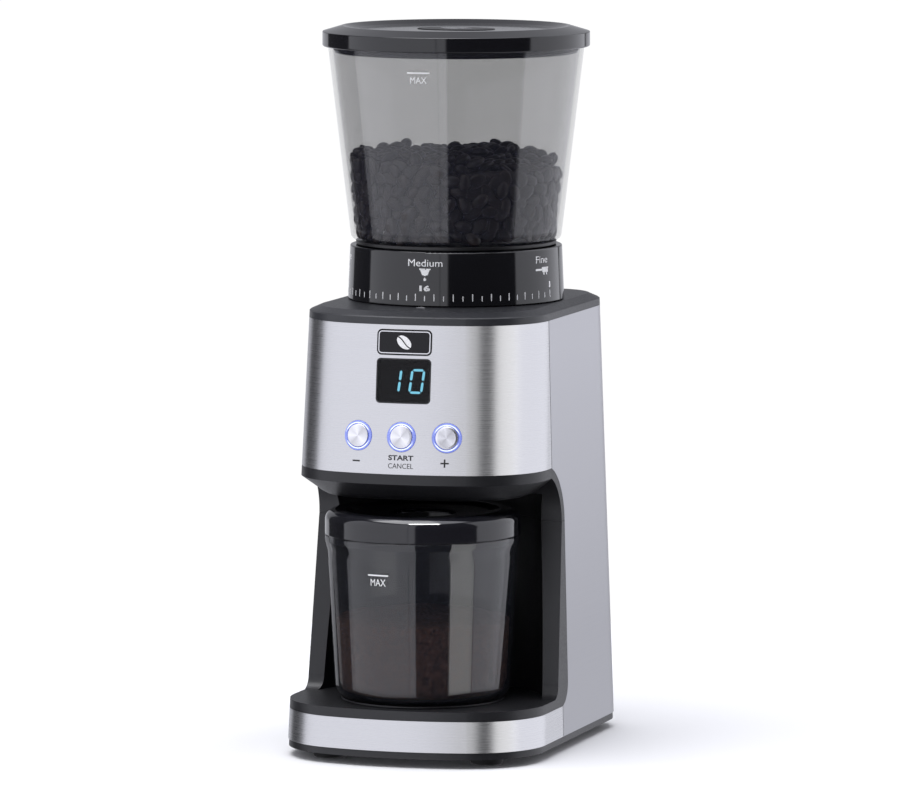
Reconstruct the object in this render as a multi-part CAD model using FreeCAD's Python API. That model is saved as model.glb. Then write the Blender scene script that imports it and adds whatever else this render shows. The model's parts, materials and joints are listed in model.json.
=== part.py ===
"""Burr coffee grinder: tapered body with a bay, grounds canister, grind-setting ring and bean hopper.

Frame: +Z up, front towards -Y, origin on the table under the middle of the footprint. Millimetres.
Each function makes one sub-part, and main() writes one STEP per node to parts/.
"""

import FreeCAD, Part
import math
import os
from FreeCAD import Vector

OUT = "parts"

# Body envelope: a rounded outline that draws in linearly with height.
HALF_WIDTH_0, HALF_WIDTH_DRAFT = 71.8, 5.4 / 235
FRONT_Y_0, FRONT_DRAFT = -103.4, 24.0 / 235
BACK_Y_0, BACK_DRAFT = 103.1, 11.5 / 235
FRONT_RADIUS, CORNER_RADIUS, REAR_RADIUS = 153.0, 42.7, 32.0
ENVELOPE_TOP = 250.0

# Levels of the body, from the table up.
FOOT_H = 4.8
PAN_FLOOR = 2.0
PAN_TOP = 8.5
PAN_BOSS_TOP = 14.0
TRAY_TOP = 30.1
LINER_SPLIT = 125.0
CEILING = 140.0
CHIN_BAND_BOTTOM = 150.0
HEAD_BOTTOM = 155.4
DECK_BOTTOM = 235.0
DECK_BAND_TOP = 239.2
DECK_TOP = 241.5
DECK_INSET = 6.0

SKIN = 1.2  # sheet steel of the visible panels
GAP = 0.35  # half of the visible seam between two panels
HEAD_SEAM_Y = -33.4
BASE_SEAM_Y = -22.0
REAR_SPLIT_X = 36.0

# Side opening of the bay, seen from the side.
BAY_Y = -16.7
BAY_LOW_RADIUS = 7.7
BAY_HIGH_RADIUS = 26.7
BAY_LEAN = 13.0  # how far the foot of the bay's back wall comes forward
BAND = 5.0  # exposed edge of the black liner around the bay
CHIN_INSET = 14.0
CHIN_CURVE = [(140.7, 14.2), (142.3, 11.2), (144.4, 8.2)]
POCKET_Y, POCKET_R = -45.4, 64.0
WALL = 3.0

# Grinding column, on the axis of the ring and hopper.
AXIS_Y = 12.6
RING_BOTTOM, RING_TOP = 241.9, 271.2
RING_R_LOW, RING_R_HIGH = 58.8, 57.6
HOPPER_BOTTOM, HOPPER_TOP = 273.6, 381.2
HOPPER_R_LOW, HOPPER_R_HIGH = 57.6, 69.9
HOPPER_WALL = 2.4
NECK_R, NECK_IN, NECK_LOW = 31.0, 28.6, 258.0
COLLAR_R = 54.5
LID_BOTTOM, LID_EDGE, LID_TOP = 378.9, 386.9, 390.0
LID_R, LID_PEAK_R, LID_FLOOR_R, LID_FLOOR = 72.6, 62.1, 55.4, 388.0
CHAMBER_R, CHAMBER_IN, CHAMBER_FLOOR, CHAMBER_TOP = 43.5, 40.6, 200.0, 259.9
LUG_LOW, LUG_HIGH, LUG_HALF = 250.5, 256.0, 4.0
WINDOW_HALF_ANGLE = 84.5

# Canister.
CAN_Y = -47.7
CAN_BOTTOM, CAN_RIM, CAN_LID_TOP = 31.3, 119.4, 133.0
CAN_R_LOW, CAN_R_HIGH, CAN_R_RIM = 47.1, 51.2, 52.7
CAN_WALL = 2.2
CAN_LID_HOLE = 17.0

# Control panel, in the front of the head.
DISPLAY_W, DISPLAY_LOW, DISPLAY_HIGH = 30.2, 193.4, 217.0
BADGE_W, BADGE_LOW, BADGE_HIGH = 30.4, 219.0, 232.4
BUTTON_Z, BUTTON_PITCH = 175.5, 24.8
BUTTON_R, LIGHT_IN, LIGHT_OUT = 6.15, 6.45, 8.0
BUTTON_NAMES = ("minus", "start", "plus")

# Drive train.
MODULE = 0.8
PINION_T, WHEEL_T, IDLER_PINION_T, OUTPUT_T = 18, 50, 18, 46
PRESSURE = math.radians(20)
BACKLASH = 0.14
SHAFT_GAP = 47.0
MOTOR_Y = AXIS_Y + SHAFT_GAP
STAGE_1 = MODULE * (PINION_T + WHEEL_T) / 2
STAGE_2 = MODULE * (IDLER_PINION_T + OUTPUT_T) / 2
IDLER_DY = (STAGE_2**2 - STAGE_1**2 + SHAFT_GAP**2) / (2 * SHAFT_GAP)
IDLER_X = math.sqrt(STAGE_2**2 - IDLER_DY**2)
IDLER_Y = AXIS_Y + IDLER_DY
GEARBOX_LOW, GEARBOX_FLOOR, GEARBOX_LID, GEARBOX_HIGH = 144.0, 148.0, 169.0, 173.0
SHAFT_R, IDLER_PIN_R, MOTOR_SHAFT_R = 4.0, 1.95, 2.5
BEARING_R, BEARING_W = 7.0, 4.0
BEARING_LEVELS = {"low": 145.55, "mid": 171.1, "top": 188.0}
MOTOR_R, MOTOR_LOW, MOTOR_HIGH = 28.5, 72.0, 143.6

FEET = [(-44.0, -74.0), (44.0, -74.0), (-46.0, 74.0), (46.0, 74.0)]


# ---------------------------------------------------------------- shape helpers


def cylinder(r, z0, z1, x=0.0, y=0.0):
    return Part.makeCylinder(r, z1 - z0, Vector(x, y, z0))


def tube(r_out, r_in, z0, z1, x=0.0, y=0.0):
    return cylinder(r_out, z0, z1, x, y).cut(cylinder(r_in, z0 - 1, z1 + 1, x, y))


def box(x0, x1, y0, y1, z0, z1):
    return Part.makeBox(x1 - x0, y1 - y0, z1 - z0, Vector(x0, y0, z0))


def slab(z0, z1):
    return box(-150, 150, -200, 200, z0, z1)


def join(shapes):
    """One solid or compound from several that touch or overlap."""
    result = shapes[0].fuse(shapes[1:]) if len(shapes) > 1 else shapes[0]
    return result.removeSplitter()


def rounded_wire(corners, place):
    """Closed wire through corners given as (u, v, radius), each corner an arc of that radius."""
    n = len(corners)
    cuts = []
    for i, (u, v, r) in enumerate(corners):
        p = Vector(u, v, 0)
        a = Vector(*corners[i - 1][:2], 0) - p
        b = Vector(*corners[(i + 1) % n][:2], 0) - p
        a.normalize()
        b.normalize()
        if r <= 0:
            cuts.append((p, None, p))
            continue
        half = math.acos(max(-1.0, min(1.0, a.dot(b)))) / 2
        back = r / math.tan(half)
        middle = a + b
        middle.normalize()
        centre = p + middle * (r / math.sin(half))
        cuts.append((p + a * back, centre - middle * r, p + b * back))
    edges = []
    for i in range(n):
        start, middle, end = cuts[i]
        if middle is not None:
            edges.append(Part.Arc(place(start), place(middle), place(end)).toShape())
        following = cuts[(i + 1) % n][0]
        if (following - end).Length > 1e-6:
            edges.append(Part.LineSegment(place(end), place(following)).toShape())
    return Part.Wire(Part.__sortEdges__(edges))


def turned(corners, y=AXIS_Y, x=0.0):
    """Solid of revolution about the vertical line through (x, y); corners are (radius, z, corner radius)."""
    wire = rounded_wire(corners, lambda p: Vector(p.x, 0, p.y))
    solid = Part.Face(wire).revolve(Vector(0, 0, 0), Vector(0, 0, 1), 360)
    solid.translate(Vector(x, y, 0))
    return Part.makeSolid(Part.Shell(solid.Faces)) if solid.ShapeType != "Solid" else solid


def front_prism(width, low, high, radius):
    """Rounded rectangle seen from the front, extruded through the front wall."""
    w = width / 2
    corners = [(-w, low, radius), (w, low, radius), (w, high, radius), (-w, high, radius)]
    wire = rounded_wire(corners, lambda p: Vector(p.x, -130, p.y))
    return Part.Face(wire).extrude(Vector(0, 80, 0))


# ---------------------------------------------------------------- body envelope


def outline(z, inset=0.0):
    """Closed outline of the body at height z, drawn in by inset."""
    half = HALF_WIDTH_0 - HALF_WIDTH_DRAFT * z - inset
    front = FRONT_Y_0 + FRONT_DRAFT * z + inset
    back = BACK_Y_0 - BACK_DRAFT * z - inset
    r_front, r_corner, r_rear = FRONT_RADIUS - inset, CORNER_RADIUS - inset, REAR_RADIUS - inset
    front_centre = front + r_front
    corner_x = half - r_corner
    reach = r_front - r_corner
    corner_y = front_centre - math.sqrt(reach**2 - corner_x**2)
    turn = math.asin(corner_x / reach)
    rear_x, rear_y = half - r_rear, back - r_rear

    def on(cx, cy, r, angle, side):
        return Vector(side * (cx + r * math.sin(angle)), cy - r * math.cos(angle), z)

    def corner(angle, side):
        return on(corner_x, corner_y, r_corner, angle, side)

    right, left = 1, -1
    quarter, middle = math.pi / 2, (turn + math.pi / 2) / 2
    edges = [
        Part.Arc(on(0, front_centre, r_front, turn, left), Vector(0, front, z),
                 on(0, front_centre, r_front, turn, right)).toShape(),
        Part.Arc(corner(turn, right), corner(middle, right), corner(quarter, right)).toShape(),
        Part.LineSegment(Vector(half, corner_y, z), Vector(half, rear_y, z)).toShape(),
        Part.Arc(Vector(half, rear_y, z), on(rear_x, rear_y, r_rear, 1.5 * quarter, right),
                 Vector(rear_x, back, z)).toShape(),
        Part.LineSegment(Vector(rear_x, back, z), Vector(-rear_x, back, z)).toShape(),
        Part.Arc(Vector(-rear_x, back, z), on(rear_x, rear_y, r_rear, 1.5 * quarter, left),
                 Vector(-half, rear_y, z)).toShape(),
        Part.LineSegment(Vector(-half, rear_y, z), Vector(-half, corner_y, z)).toShape(),
        Part.Arc(corner(quarter, left), corner(middle, left), corner(turn, left)).toShape(),
    ]
    return Part.Wire(edges)


_envelopes = {}


def envelope(inset):
    """The whole tapered body, drawn in by inset, from the table to above the deck."""
    if inset not in _envelopes:
        _envelopes[inset] = Part.makeLoft([outline(0, inset), outline(ENVELOPE_TOP, inset)], True, True)
    return _envelopes[inset]


def layer(inset, z0, z1):
    return envelope(inset).common(slab(z0, z1))


def bay(grow, lean=0.0, half_x=120.0):
    """The bay's side profile as a prism along X, grown outwards; lean brings its back wall's foot forward."""
    y, low, high = BAY_Y + grow, TRAY_TOP - grow, LINER_SPLIT
    foot = y - lean
    r_low, r_high = BAY_LOW_RADIUS + grow, BAY_HIGH_RADIUS + grow
    top = LINER_SPLIT + r_high
    s = math.sqrt(0.5)

    def p(py, pz):
        return Vector(-half_x, py, pz)

    edges = [
        Part.LineSegment(p(-160, low), p(foot - r_low, low)).toShape(),
        Part.Arc(p(foot - r_low, low), p(foot - r_low * (1 - s), low + r_low * (1 - s)),
                 p(foot, low + r_low)).toShape(),
        Part.LineSegment(p(foot, low + r_low), p(y, high)).toShape(),
        Part.Arc(p(y, high), p(y - r_high * (1 - s), high + r_high * s), p(y - r_high, top)).toShape(),
        Part.LineSegment(p(y - r_high, top), p(-160, top)).toShape(),
        Part.LineSegment(p(-160, top), p(-160, low)).toShape(),
    ]
    return Part.Face(Part.Wire(edges)).extrude(Vector(2 * half_x, 0, 0))


def pocket(grow, z0, z1):
    """Round recess in the column, behind the canister."""
    return cylinder(POCKET_R + grow, z0, z1, 0, POCKET_Y)


def stacked(steps):
    """Slice of the body whose edge runs straight between steps, each a level and an inset."""
    return Part.makeLoft([outline(z, inset) for z, inset in steps], True, True)


def skin():
    return envelope(0).cut(envelope(SKIN))


# ---------------------------------------------------------------- housing


def make_base_pan():
    """Bottom pan: the dark rim under the steel, with screw bosses and cooling slots."""
    body = layer(0.6, FOOT_H, PAN_TOP - 0.15).cut(layer(3.6, FOOT_H + PAN_FLOOR, PAN_TOP + 1))
    for x, y in FEET:
        body = body.fuse(cylinder(5, FOOT_H, PAN_BOSS_TOP, x, y)).cut(cylinder(1.5, 0, 20, x, y))
        body = body.cut(cylinder(3.4, 0, FOOT_H + 0.6, x, y))
    slots = [box(-26, 26, y - 1.3, y + 1.3, 0, PAN_TOP) for y in range(38, 80, 7)]
    return body.cut(join(slots)).removeSplitter()


def make_feet():
    top = FOOT_H - 0.05
    profile = [(3.6, 0, 0), (8.6, 0, 1.2), (9.4, top, 0), (3.6, top, 0)]
    return Part.makeCompound([turned(profile, y=y, x=x) for x, y in FEET])


def make_base_band():
    """Brushed steel band round the front of the base."""
    region = box(-100, 100, -150, BASE_SEAM_Y - GAP, PAN_TOP, TRAY_TOP - BAND - 0.1)
    return skin().common(region)


def make_bay_liner():
    """Black moulding: column front, round pocket, tray and the exposed edge round them."""
    tray_low = TRAY_TOP - BAND
    outer = envelope(0).common(bay(BAND))
    tuck = envelope(SKIN + 0.2).common(bay(BAND + 7))
    pocket_wall = pocket(WALL, TRAY_TOP - WALL, LINER_SPLIT).common(envelope(SKIN + 0.2))
    body = join([outer, tuck, pocket_wall]).common(slab(tray_low, LINER_SPLIT - 0.15))
    inside = envelope(4.0).cut(bay(WALL, BAY_LEAN)).cut(pocket(WALL, TRAY_TOP - WALL, 200))
    body = body.cut(bay(0, BAY_LEAN)).cut(pocket(0, TRAY_TOP, 200)).cut(inside)
    return body.removeSplitter()


def make_chin():
    """Black underside of the head: edge band, sloping chin, flat ceiling and the curve into the column."""
    outer = envelope(0).common(bay(BAND))
    tuck = envelope(SKIN + 0.2).common(bay(BAND + 7))
    over_pocket = pocket(WALL, LINER_SPLIT, CEILING + WALL).common(envelope(SKIN + 0.2))
    bowl = stacked([(CEILING, CHIN_INSET + 4.0)] + CHIN_CURVE + [(CHIN_BAND_BOTTOM, 0)])
    body = join([outer, tuck, over_pocket]).common(slab(LINER_SPLIT, HEAD_BOTTOM))
    body = body.cut(bay(0).common(slab(100, CHIN_BAND_BOTTOM)).cut(bowl))
    body = body.cut(pocket(0, 100, CEILING))
    hollow = stacked(
        [(CEILING + WALL, CHIN_INSET + 2), (CHIN_BAND_BOTTOM + WALL, WALL), (HEAD_BOTTOM + 10, WALL)])
    column = envelope(4.0).cut(bay(WALL)).cut(pocket(WALL, 100, 200)).common(slab(100, CEILING + WALL))
    return body.cut(hollow).cut(column).cut(chute_outer(0.2)).removeSplitter()


def make_front_panel():
    """Brushed steel front of the head, with its window, badge and button cut-outs."""
    region = box(-100, 100, -150, HEAD_SEAM_Y - GAP, HEAD_BOTTOM + 0.1, DECK_BOTTOM - 0.1)
    panel = skin().common(region)
    panel = panel.cut(front_prism(DISPLAY_W + 0.4, DISPLAY_LOW - 0.2, DISPLAY_HIGH + 0.2, 2.4))
    panel = panel.cut(front_prism(BADGE_W + 0.4, BADGE_LOW - 0.2, BADGE_HIGH + 0.2, 2.8))
    for i in range(3):
        panel = panel.cut(on_front(button_x(i), BUTTON_Z, cylinder(LIGHT_OUT + 0.15, -8, 8)))
    return panel


def side_region():
    """Where the side panels lie: behind both seams and outside the bay's edge."""
    region = slab(PAN_TOP, DECK_BOTTOM - 0.1).cut(bay(BAND + 0.2))
    region = region.cut(box(-150, 150, -200, HEAD_SEAM_Y + GAP, HEAD_BOTTOM - 8, 260))
    region = region.cut(box(-150, 150, -200, BASE_SEAM_Y + GAP, 0, TRAY_TOP))
    return region.cut(box(-REAR_SPLIT_X - GAP, REAR_SPLIT_X + GAP, 40, 150, 0, 260))


def make_side_panel(side):
    half = box(0, 150, -200, 200, 0, 260) if side > 0 else box(-150, 0, -200, 200, 0, 260)
    return skin().common(side_region()).common(half)


def make_rear_cover():
    """Black rear cover with cooling louvres and the cord gland's hole."""
    cover = envelope(0).cut(envelope(2.2))
    cover = cover.common(box(-REAR_SPLIT_X + GAP, REAR_SPLIT_X - GAP, 40, 150, PAN_TOP, DECK_BOTTOM - 0.1))
    slots = [box(-24, 24, 60, 120, z, z + 2.6) for z in range(150, 208, 7)]
    slots += [box(-24, 24, 60, 120, z, z + 2.6) for z in range(48, 92, 7)]
    cover = cover.cut(join(slots))
    cover = cover.cut(Part.makeCylinder(7.0, 60, Vector(0, 60, CORD_Z), Vector(0, 1, 0)))
    for x, z in REAR_SCREWS:
        cover = cover.cut(on_back(x, z, join([cylinder(1.8, -5, 1), cylinder(3.3, -1.2, 1)])))
    return cover


CORD_Z = 24.0
REAR_SCREWS = [(-29.0, 34.0), (29.0, 34.0), (-29.0, 222.0), (29.0, 222.0)]


def make_cord_gland():
    """Bush in the rear cover that a mains cord leaves through."""
    y = BACK_Y_0 - BACK_DRAFT * CORD_Z
    out = Vector(0, 1, 0)

    def stub(r, y0, y1):
        return Part.makeCylinder(r, y1 - y0, Vector(0, y0, CORD_Z), out)

    gland = join([stub(6.8, y - 8.0, y - 0.4), stub(9.0, y - 6.4, y - 3.4)])
    return gland.cut(stub(3.6, y - 9, y + 2))


def screw(length, head_r=3.0, shank_r=1.4):
    """Pan-head screw pointing along -Z, its head's underside at z = 0."""
    head = turned([(0, 0, 0), (head_r, 0, 0), (head_r, 1.9, 1.0), (0, 1.9, 0)], y=0)
    cross = join([box(-1.7, 1.7, -0.35, 0.35, 0.9, 3), box(-0.35, 0.35, -1.7, 1.7, 0.9, 3)])
    return head.cut(cross).fuse(cylinder(shank_r, -length, 0.2))


def placed(shape, x, y, z, axis=None, angle=0.0):
    moved = shape.copy()
    if axis is not None:
        moved.rotate(Vector(0, 0, 0), axis, angle)
    moved.translate(Vector(x, y, z))
    return moved


def around(shape, angle, y=AXIS_Y):
    """Moves a shape made about the origin to the vertical line at y, turned through angle."""
    return placed(shape, 0, y, 0, Vector(0, 0, 1), angle)


def on_back(x, z, shape):
    """Moves a shape made about the origin, +Z outwards, to the back face at (x, z), square to it."""
    tilt = math.degrees(math.atan(BACK_DRAFT)) - 90
    return placed(shape, x, BACK_Y_0 - BACK_DRAFT * z, z, Vector(1, 0, 0), tilt)


def make_rear_screws():
    sunk = placed(screw(7), 0, 0, -1.15)
    return Part.makeCompound([on_back(x, z, sunk) for x, z in REAR_SCREWS])


def make_base_screws():
    shape = screw(7.5, 3.1)
    return Part.makeCompound(
        [placed(shape, x, y, FOOT_H + 0.5, Vector(1, 0, 0), 180) for x, y in FEET]
    )


def make_top_deck():
    """Dark deck round the ring: straight edge band, softened edge, shallow bevel up to a flat top."""
    deck = stacked([(DECK_BOTTOM, 0), (DECK_BAND_TOP - 0.6, 0), (DECK_BAND_TOP, 0.8), (DECK_TOP, DECK_INSET)])
    deck = deck.cut(stacked([(DECK_BOTTOM - 1, 3.0), (DECK_BAND_TOP - 1.2, 3.0)]))
    return deck.cut(cylinder(CHAMBER_R + 1.0, 200, 260, 0, AXIS_Y))


def make_pointer():
    """Small raised arrow on the deck, under the ring's setting marks."""
    y = AXIS_Y - RING_R_LOW - 1.2
    points = [Vector(0, y, 0), Vector(-2.4, y - 4.2, 0), Vector(2.4, y - 4.2, 0)]
    wire = Part.makePolygon(points + points[:1])
    arrow = Part.Face(wire).extrude(Vector(0, 0, 0.35))
    arrow.translate(Vector(0, 0, DECK_TOP))
    return arrow


# ---------------------------------------------------------------- control panel


def button_x(i):
    return (i - 1) * BUTTON_PITCH


def on_front(x, z, shape):
    """Moves a shape made about the origin, +Z outwards, to the front surface at (x, z), square to it."""
    front = FRONT_Y_0 + FRONT_DRAFT * z
    turn = math.asin(x / FRONT_RADIUS)
    y = front + FRONT_RADIUS * (1 - math.cos(turn))
    normal = Vector(math.sin(turn), -math.cos(turn), FRONT_DRAFT)
    normal.normalize()
    across = Vector(0, 0, 1).cross(normal)
    across.normalize()
    up = normal.cross(across)
    frame = FreeCAD.Matrix(
        across.x, up.x, normal.x, x, across.y, up.y, normal.y, y, across.z, up.z, normal.z, z, 0, 0, 0, 1
    )
    return shape.copy().transformed(frame)


def make_button(i):
    """Push button: a crowned cap on a flange and stem."""
    cap = turned(
        [(0, -6.0, 0), (2.0, -6.0, 0.4), (2.0, -4.2, 0), (7.6, -4.2, 0), (7.6, -3.3, 0),
         (BUTTON_R, -3.3, 0), (BUTTON_R, 0.75, 0.35), (BUTTON_R - 1.2, 1.0, 0), (0, 1.0, 0)], y=0)
    return on_front(button_x(i), BUTTON_Z, cap)


def make_light_rings():
    """Translucent light guides round the buttons."""
    ring = turned(
        [(LIGHT_IN, -2.3, 0), (LIGHT_OUT, -2.3, 0), (LIGHT_OUT, 0.35, 0.3), (LIGHT_IN, 0.55, 0.25)], y=0)
    return Part.makeCompound([on_front(button_x(i), BUTTON_Z, ring) for i in range(3)])


BOARD_DEPTH = 10.0


def make_control_board():
    """Circuit board behind the front panel, leaning with it."""
    board = box(-34, 34, -16, 52, -BOARD_DEPTH - 1.6, -BOARD_DEPTH)
    for x in (-30, 30):
        for y in (-12, 48):
            board = board.cut(cylinder(1.6, -20, 0, x, y))
    return on_front(0, BUTTON_Z, board)


def make_switches():
    """Three tact switches on the board, one behind each button."""
    board = make_control_board()
    switches = []
    for i in range(3):
        body = join([cylinder(1.7, -8.0, -7.0), box(-3, 3, -3, 3, -12.0, -7.7)])
        solid = on_front(button_x(i), BUTTON_Z, body)
        keep = on_front(0, BUTTON_Z, box(-60, 60, -60, 60, -BOARD_DEPTH, 20))
        switches.append(solid.cut(board).common(keep))
    return Part.makeCompound(switches)


DISPLAY_Z = (DISPLAY_LOW + DISPLAY_HIGH) / 2


def make_display_module():
    body = box(-14.5, 14.5, -11.2, 11.2, -BOARD_DEPTH + 0.1, -3.6)
    return on_front(0, DISPLAY_Z, body)


def make_display_window():
    """Smoked window, flush with the panel and curved like it."""
    shell = envelope(0.25).cut(envelope(1.75))
    return shell.common(front_prism(DISPLAY_W, DISPLAY_LOW, DISPLAY_HIGH, 2.2))


def segment(x0, y0, x1, y1, half):
    """One lit bar of a digit, with pointed ends."""
    dx, dy = x1 - x0, y1 - y0
    length = math.hypot(dx, dy)
    ux, uy = dx / length, dy / length
    points = [(0, 0), (half, half), (length - half, half), (length, 0), (length - half, -half), (half, -half)]
    line = [Vector(x0 + a * ux - b * uy, y0 + a * uy + b * ux, 0) for a, b in points]
    return Part.Face(Part.makePolygon(line + line[:1])).extrude(Vector(0, 0, 0.3))


DIGIT_W, DIGIT_H, DIGIT_SLANT, BAR = 6.6, 12.0, 0.12, 0.62
DIGIT_BARS = {"0": "abcdef", "1": "bc"}


def digit(character, x):
    """A seven-bar digit leaning to the right, its lower left corner at x."""
    w, h = DIGIT_W, DIGIT_H / 2
    ends = {
        "a": ((0, 2 * h), (w, 2 * h)), "b": ((w, 2 * h), (w, h)), "c": ((w, h), (w, 0)),
        "d": ((0, 0), (w, 0)), "e": ((0, 0), (0, h)), "f": ((0, h), (0, 2 * h)), "g": ((0, h), (w, h)),
    }
    bars = []
    for name in DIGIT_BARS[character]:
        (x0, y0), (x1, y1) = ends[name]
        gap = 0.35 / math.hypot(x1 - x0, y1 - y0)
        xs = (x0 + (x1 - x0) * gap, x1 - (x1 - x0) * gap)
        ys = (y0 + (y1 - y0) * gap, y1 - (y1 - y0) * gap)
        left, right = x + xs[0] + DIGIT_SLANT * ys[0], x + xs[1] + DIGIT_SLANT * ys[1]
        bars.append(segment(left, ys[0] - h, right, ys[1] - h, BAR))
    return bars


def make_display_digits():
    """Lit bars showing 10, just in front of the display module."""
    bars = digit("1", -DIGIT_W - 3.6) + digit("0", 2.6)
    lifted = [placed(bar, 0, 0, -3.55) for bar in bars]
    return Part.makeCompound([on_front(0, DISPLAY_Z, bar) for bar in lifted])


def make_badge():
    """Blank name plate, flush in the front panel."""
    shell = envelope(-0.15).cut(envelope(0.9))
    return shell.common(front_prism(BADGE_W, BADGE_LOW, BADGE_HIGH, 2.6))


# ---------------------------------------------------------------- gears and drive


def gear(teeth, z0, z1, x, y, bore, phase):
    """Spur gear with involute flanks; phase is the direction of one tooth's middle, in radians."""
    pitch = MODULE * teeth / 2
    base = pitch * math.cos(PRESSURE)
    tip, root = pitch + 0.92 * MODULE, pitch - 1.2 * MODULE
    half_pitch = (math.pi * MODULE / 2 - BACKLASH) / (2 * pitch)
    involute = math.tan(PRESSURE) - PRESSURE

    def half_angle(r):
        if r <= base:
            return half_pitch + involute
        a = math.acos(base / r)
        return half_pitch + involute - (math.tan(a) - a)

    start = max(base, root)
    radii = [root] + [start + (tip - start) * k / 3 for k in range(4)]
    radii = radii if start > root + 1e-6 else radii[1:]
    points = []
    for t in range(teeth):
        middle = phase + 2 * math.pi * t / teeth
        flank = [(r, half_angle(r)) for r in radii]
        points += [(r, middle - a) for r, a in flank] + [(r, middle + a) for r, a in reversed(flank)]
    line = [Vector(x + r * math.cos(a), y + r * math.sin(a), z0) for r, a in points]
    body = Part.Face(Part.makePolygon(line + line[:1])).extrude(Vector(0, 0, z1 - z0))
    return body.cut(cylinder(bore, z0 - 1, z1 + 1, x, y))


def bearing_angle(x0, y0, x1, y1):
    return math.atan2(y1 - y0, x1 - x0)


def make_output_gear():
    towards = bearing_angle(0, AXIS_Y, IDLER_X, IDLER_Y)
    wheel = gear(OUTPUT_T, 160.0, 166.5, 0, AXIS_Y, SHAFT_R, towards)
    hub = tube(8.0, SHAFT_R, 158.4, 168.0, 0, AXIS_Y)
    holes = [cylinder(2.6, 150, 170, 12 * math.cos(a), AXIS_Y + 12 * math.sin(a))
             for a in (k * math.pi / 3 for k in range(6))]
    return wheel.cut(Part.makeCompound(holes)).fuse(hub).removeSplitter()


def make_idler_gear():
    """Two gears in one piece: the wheel meets the motor's pinion, the small one the output gear."""
    to_motor = bearing_angle(IDLER_X, IDLER_Y, 0, MOTOR_Y)
    to_output = bearing_angle(IDLER_X, IDLER_Y, 0, AXIS_Y)
    bore, phase = IDLER_PIN_R + 0.1, to_output + math.pi / IDLER_PINION_T
    wheel = gear(WHEEL_T, 151.0, 157.0, IDLER_X, IDLER_Y, bore, to_motor)
    small = gear(IDLER_PINION_T, 156.9, 167.5, IDLER_X, IDLER_Y, bore, phase)
    return wheel.fuse(small)


def make_motor_pinion():
    to_idler = bearing_angle(0, MOTOR_Y, IDLER_X, IDLER_Y)
    return gear(PINION_T, 150.0, 158.6, 0, MOTOR_Y, 2.5, to_idler + math.pi / PINION_T)


def gearbox_plan(grow, z0, z1):
    """Plan of the gearbox, from the motor to the burr shaft, as a solid between two levels."""
    discs = [(0, AXIS_Y, 23.0), (IDLER_X, IDLER_Y, 25.0), (0, MOTOR_Y, 30.0)]
    parts = [cylinder(r + grow, z0, z1, x, y) for x, y, r in discs]
    web = [Vector(-22 - grow, AXIS_Y, z0), Vector(-28 - grow, MOTOR_Y, z0), Vector(28 + grow, MOTOR_Y, z0),
           Vector(IDLER_X + 23 + grow, IDLER_Y, z0), Vector(22 + grow, AXIS_Y, z0)]
    parts.append(Part.Face(Part.makePolygon(web + web[:1])).extrude(Vector(0, 0, z1 - z0)))
    return join(parts)


GEARBOX_BOLTS = [(-25.5, 20.0), (25.0, 8.0), (-30.5, 72.0), (31.0, 70.0)]


def gearbox_bosses(z0, z1):
    return [cylinder(4.2, z0, z1, x, y) for x, y in GEARBOX_BOLTS]


def make_gearbox_base():
    """Gearbox tray: floor, wall, screw bosses and the seats of the shafts."""
    body = gearbox_plan(2.5, GEARBOX_LOW, GEARBOX_LID)
    body = join([body] + gearbox_bosses(GEARBOX_LOW, GEARBOX_LID))
    body = body.cut(gearbox_plan(0, GEARBOX_FLOOR, GEARBOX_LID + 1))
    body = join([body, cylinder(9.5, GEARBOX_FLOOR - 1, 149.6, 0, AXIS_Y)])
    body = body.cut(cylinder(7.0, 145.5, 152, 0, AXIS_Y))
    body = body.cut(cylinder(9.0, 140, 160, 0, MOTOR_Y))
    body = body.cut(cylinder(IDLER_PIN_R, 146, 160, IDLER_X, IDLER_Y))
    for x, y in GEARBOX_BOLTS:
        body = body.cut(cylinder(1.3, 155, 175, x, y))
    for x, y in MOTOR_BOLTS:
        body = body.cut(cylinder(1.7, 140, 150, x, y))
    return body.removeSplitter()


MOTOR_BOLTS = [(-16.0, MOTOR_Y), (16.0, MOTOR_Y)]


def make_gearbox_cover():
    low = GEARBOX_LID + 0.1
    body = join([gearbox_plan(2.5, low, GEARBOX_HIGH)] + gearbox_bosses(low, GEARBOX_HIGH))
    body = join([body, cylinder(11.0, GEARBOX_HIGH - 1, 178.0, 0, AXIS_Y)])
    body = body.cut(cylinder(7.0, 171.0, 180, 0, AXIS_Y)).cut(cylinder(5.2, 160, 180, 0, AXIS_Y))
    body = body.cut(cylinder(IDLER_PIN_R, 168, 171.5, IDLER_X, IDLER_Y))
    for x, y in GEARBOX_BOLTS:
        body = body.cut(cylinder(1.7, 165, 175, x, y))
    return body.removeSplitter()


def make_gearbox_screws():
    return Part.makeCompound([placed(screw(11, 2.8, 1.25), x, y, GEARBOX_HIGH) for x, y in GEARBOX_BOLTS])


def make_bearing(z0):
    """Ball bearing: two races with a ring of balls between them."""
    inner, outer, width, ball_r = SHAFT_R + 0.03, BEARING_R, BEARING_W, 0.6
    inner_race, outer_race = inner + 0.9, outer - 0.8
    races = [tube(inner_race, inner, z0, z0 + width), tube(outer, outer_race, z0, z0 + width)]
    ball = Part.makeSphere(ball_r, Vector((inner_race + outer_race) / 2, 0, z0 + width / 2))
    balls = [placed(ball, 0, 0, 0, Vector(0, 0, 1), 45 * k) for k in range(8)]
    return around(Part.makeCompound(races + balls), 0)


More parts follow.
